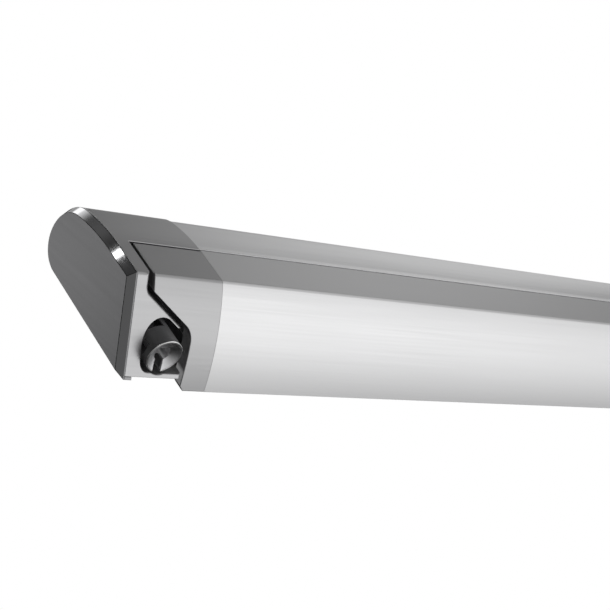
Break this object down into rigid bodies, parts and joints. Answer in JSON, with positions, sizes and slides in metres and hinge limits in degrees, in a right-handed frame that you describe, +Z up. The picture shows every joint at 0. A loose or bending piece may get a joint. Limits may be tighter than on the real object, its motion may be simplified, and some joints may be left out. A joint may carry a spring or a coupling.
{
  "type": "roll out awning",
  "caption": "Wall cassette awning that cranks out on two folding arms, with a lead rail, a wound cloth and swing-down telescopic legs.",
  "frame": {"origin": "on the back face of the middle wall bracket, against the vehicle's wall, level with the axis of the cassette's nose", "axes": "+X along the awning, from the crank end to the plain end; +Y into the vehicle's wall; +Z up"},
  "size_m": [2.6, 0.2031, 0.1513],
  "materials": {
    "anodised_rail": "satin anodised",
    "cap_silver": "satin painted casting",
    "plate_grey": "satin, machined bevel",
    "arm_silver": "satin anodised",
    "cast_alloy": "shot-blasted casting",
    "plain_steel": "zinc plated",
    "bell_dark": "satin moulding with a bright rim",
    "black_plastic": "moulded",
    "bracket_black": "powder coated",
    "awning_cloth": "coated polyester weave",
    "seal_rubber": "extruded"
  },
  "bodies": {
    "cassette": {"cassette_extrusion": "anodised_rail", "front_seal": "seal_rubber", "end_cap_left": "cap_silver", "end_cap_right": "cap_silver", "end_plate_left": "plate_grey", "end_plate_right": "plate_grey", "gear_housing": "black_plastic", "roller_bearing": "black_plastic", "shoulder_bracket_left": "cast_alloy", "shoulder_bracket_right": "cast_alloy", "shoulder_pins": "plain_steel", "wall_bracket_left": "bracket_black", "wall_bracket_middle": "bracket_black", "wall_bracket_right": "bracket_black"},
    "roller": {"roller_tube": "plain_steel", "cloth_roll": "awning_cloth", "roller_plug_left": "black_plastic", "roller_plug_right": "black_plastic", "worm_wheel": "plain_steel"},
    "crank": {"crank_bell": "bell_dark", "bell_insert": "plain_steel", "crank_shaft": "plain_steel"},
    "lead_rail": {"lead_rail": "anodised_rail", "lead_rail_top": "anodised_rail", "leg_channel_roof": "anodised_rail", "leg_channel_back": "anodised_rail", "rail_cap_left": "cap_silver", "rail_cap_right": "cap_silver", "rail_bracket_left": "cast_alloy", "rail_bracket_right": "cast_alloy", "rail_pins": "plain_steel", "leg_bracket_left": "black_plastic", "leg_bracket_right": "black_plastic", "cloth_hem": "awning_cloth"},
    "cloth_front": {"cloth_span": "awning_cloth"},
    "upper_arm_left": {"upper_arm_left": "arm_silver", "shoulder_knuckle_left": "cast_alloy", "elbow_fork_left": "cast_alloy", "elbow_pin_left": "plain_steel", "arm_spring_left": "plain_steel"},
    "forearm_left": {"forearm_left": "arm_silver", "elbow_eye_left": "cast_alloy", "rail_eye_left": "cast_alloy"},
    "leg_left": {"leg_tube_left": "arm_silver"},
    "leg_slider_left": {"leg_slider_left": "arm_silver", "leg_foot_left": "black_plastic"},
    "leg_lever_left": {"leg_lever_left": "black_plastic"},
    "upper_arm_right": {"upper_arm_right": "arm_silver", "shoulder_knuckle_right": "cast_alloy", "elbow_fork_right": "cast_alloy", "elbow_pin_right": "plain_steel", "arm_spring_right": "plain_steel"},
    "forearm_right": {"forearm_right": "arm_silver", "elbow_eye_right": "cast_alloy", "rail_eye_right": "cast_alloy"},
    "leg_right": {"leg_tube_right": "arm_silver"},
    "leg_slider_right": {"leg_slider_right": "arm_silver", "leg_foot_right": "black_plastic"},
    "leg_lever_right": {"leg_lever_right": "black_plastic"}
  },
  "joints": [
    {"name": "awning_fold", "type": "hinge", "parent": "cassette", "child": "upper_arm_left", "pos_m": [-1.1, -0.1097, -0.0221], "axis": [0, 0.2164, -0.9763], "range_deg": [0, 70]},
    {"name": "elbow_left", "type": "hinge", "parent": "upper_arm_left", "child": "forearm_left", "pos_m": [-0.04029, -0.13411, -0.02751], "axis": [0, 0.2164, -0.9763], "range_deg": [-140, 0]},
    {"name": "rail_pivot_left", "type": "hinge", "parent": "forearm_left", "child": "lead_rail", "pos_m": [-1.1, -0.15852, -0.03292], "axis": [0, 0.2164, -0.9763], "range_deg": [0, 70]},
    {"name": "shoulder_right", "type": "hinge", "parent": "cassette", "child": "upper_arm_right", "pos_m": [1.1, -0.1097, -0.0221], "axis": [0, 0.2164, -0.9763], "range_deg": [-70, 0]},
    {"name": "elbow_right", "type": "hinge", "parent": "upper_arm_right", "child": "forearm_right", "pos_m": [0.04029, -0.13411, -0.02751], "axis": [0, 0.2164, -0.9763], "range_deg": [0, 140]},
    {"name": "roller_turn", "type": "hinge", "parent": "cassette", "child": "roller", "pos_m": [0, -0.047, 0], "axis": [1, 0, 0], "continuous": true},
    {"name": "crank_turn", "type": "hinge", "parent": "cassette", "child": "crank", "pos_m": [-1.2515, -0.19888, -0.04955], "axis": [0, 0.9763, 0.2164], "continuous": true},
    {"name": "cloth_feed", "type": "slide", "parent": "cassette", "child": "cloth_front", "axis": [0, -0.9763, -0.2164], "range_m": [0, 1.9587], "deforming": ["cloth_span"]},
    {"name": "leg_swing_left", "type": "hinge", "parent": "lead_rail", "child": "leg_left", "pos_m": [-1.15, -0.17904, -0.07895], "axis": [0, 1, 0], "range_deg": [0, 90]},
    {"name": "leg_slide_left", "type": "slide", "parent": "leg_left", "child": "leg_slider_left", "axis": [1, 0, 0], "range_m": [0, 0.9]},
    {"name": "leg_clamp_left", "type": "hinge", "parent": "leg_left", "child": "leg_lever_left", "pos_m": [0.088, -0.17709, -0.08774], "axis": [0, -1, 0], "range_deg": [0, 75]},
    {"name": "leg_swing_right", "type": "hinge", "parent": "lead_rail", "child": "leg_right", "pos_m": [1.15, -0.15854, -0.0744], "axis": [0, -1, 0], "range_deg": [0, 90]},
    {"name": "leg_slide_right", "type": "slide", "parent": "leg_right", "child": "leg_slider_right", "axis": [-1, 0, 0], "range_m": [0, 0.9]},
    {"name": "leg_clamp_right", "type": "hinge", "parent": "leg_right", "child": "leg_lever_right", "pos_m": [-0.088, -0.15659, -0.08319], "axis": [0, 1, 0], "range_deg": [0, 75]}
  ],
  "couplings": [
    {"joint": "elbow_left", "follows": "awning_fold", "ratio": -2},
    {"joint": "rail_pivot_left", "follows": "awning_fold", "ratio": 1},
    {"joint": "shoulder_right", "follows": "awning_fold", "ratio": -1},
    {"joint": "elbow_right", "follows": "awning_fold", "ratio": 2},
    {"joint": "roller_turn", "follows": "awning_fold", "ratio": 56.253},
    {"joint": "crank_turn", "follows": "awning_fold", "ratio": 393.77},
    {"joint": "cloth_feed", "follows": "awning_fold", "m_per_rad": 1.6032}
  ]
}
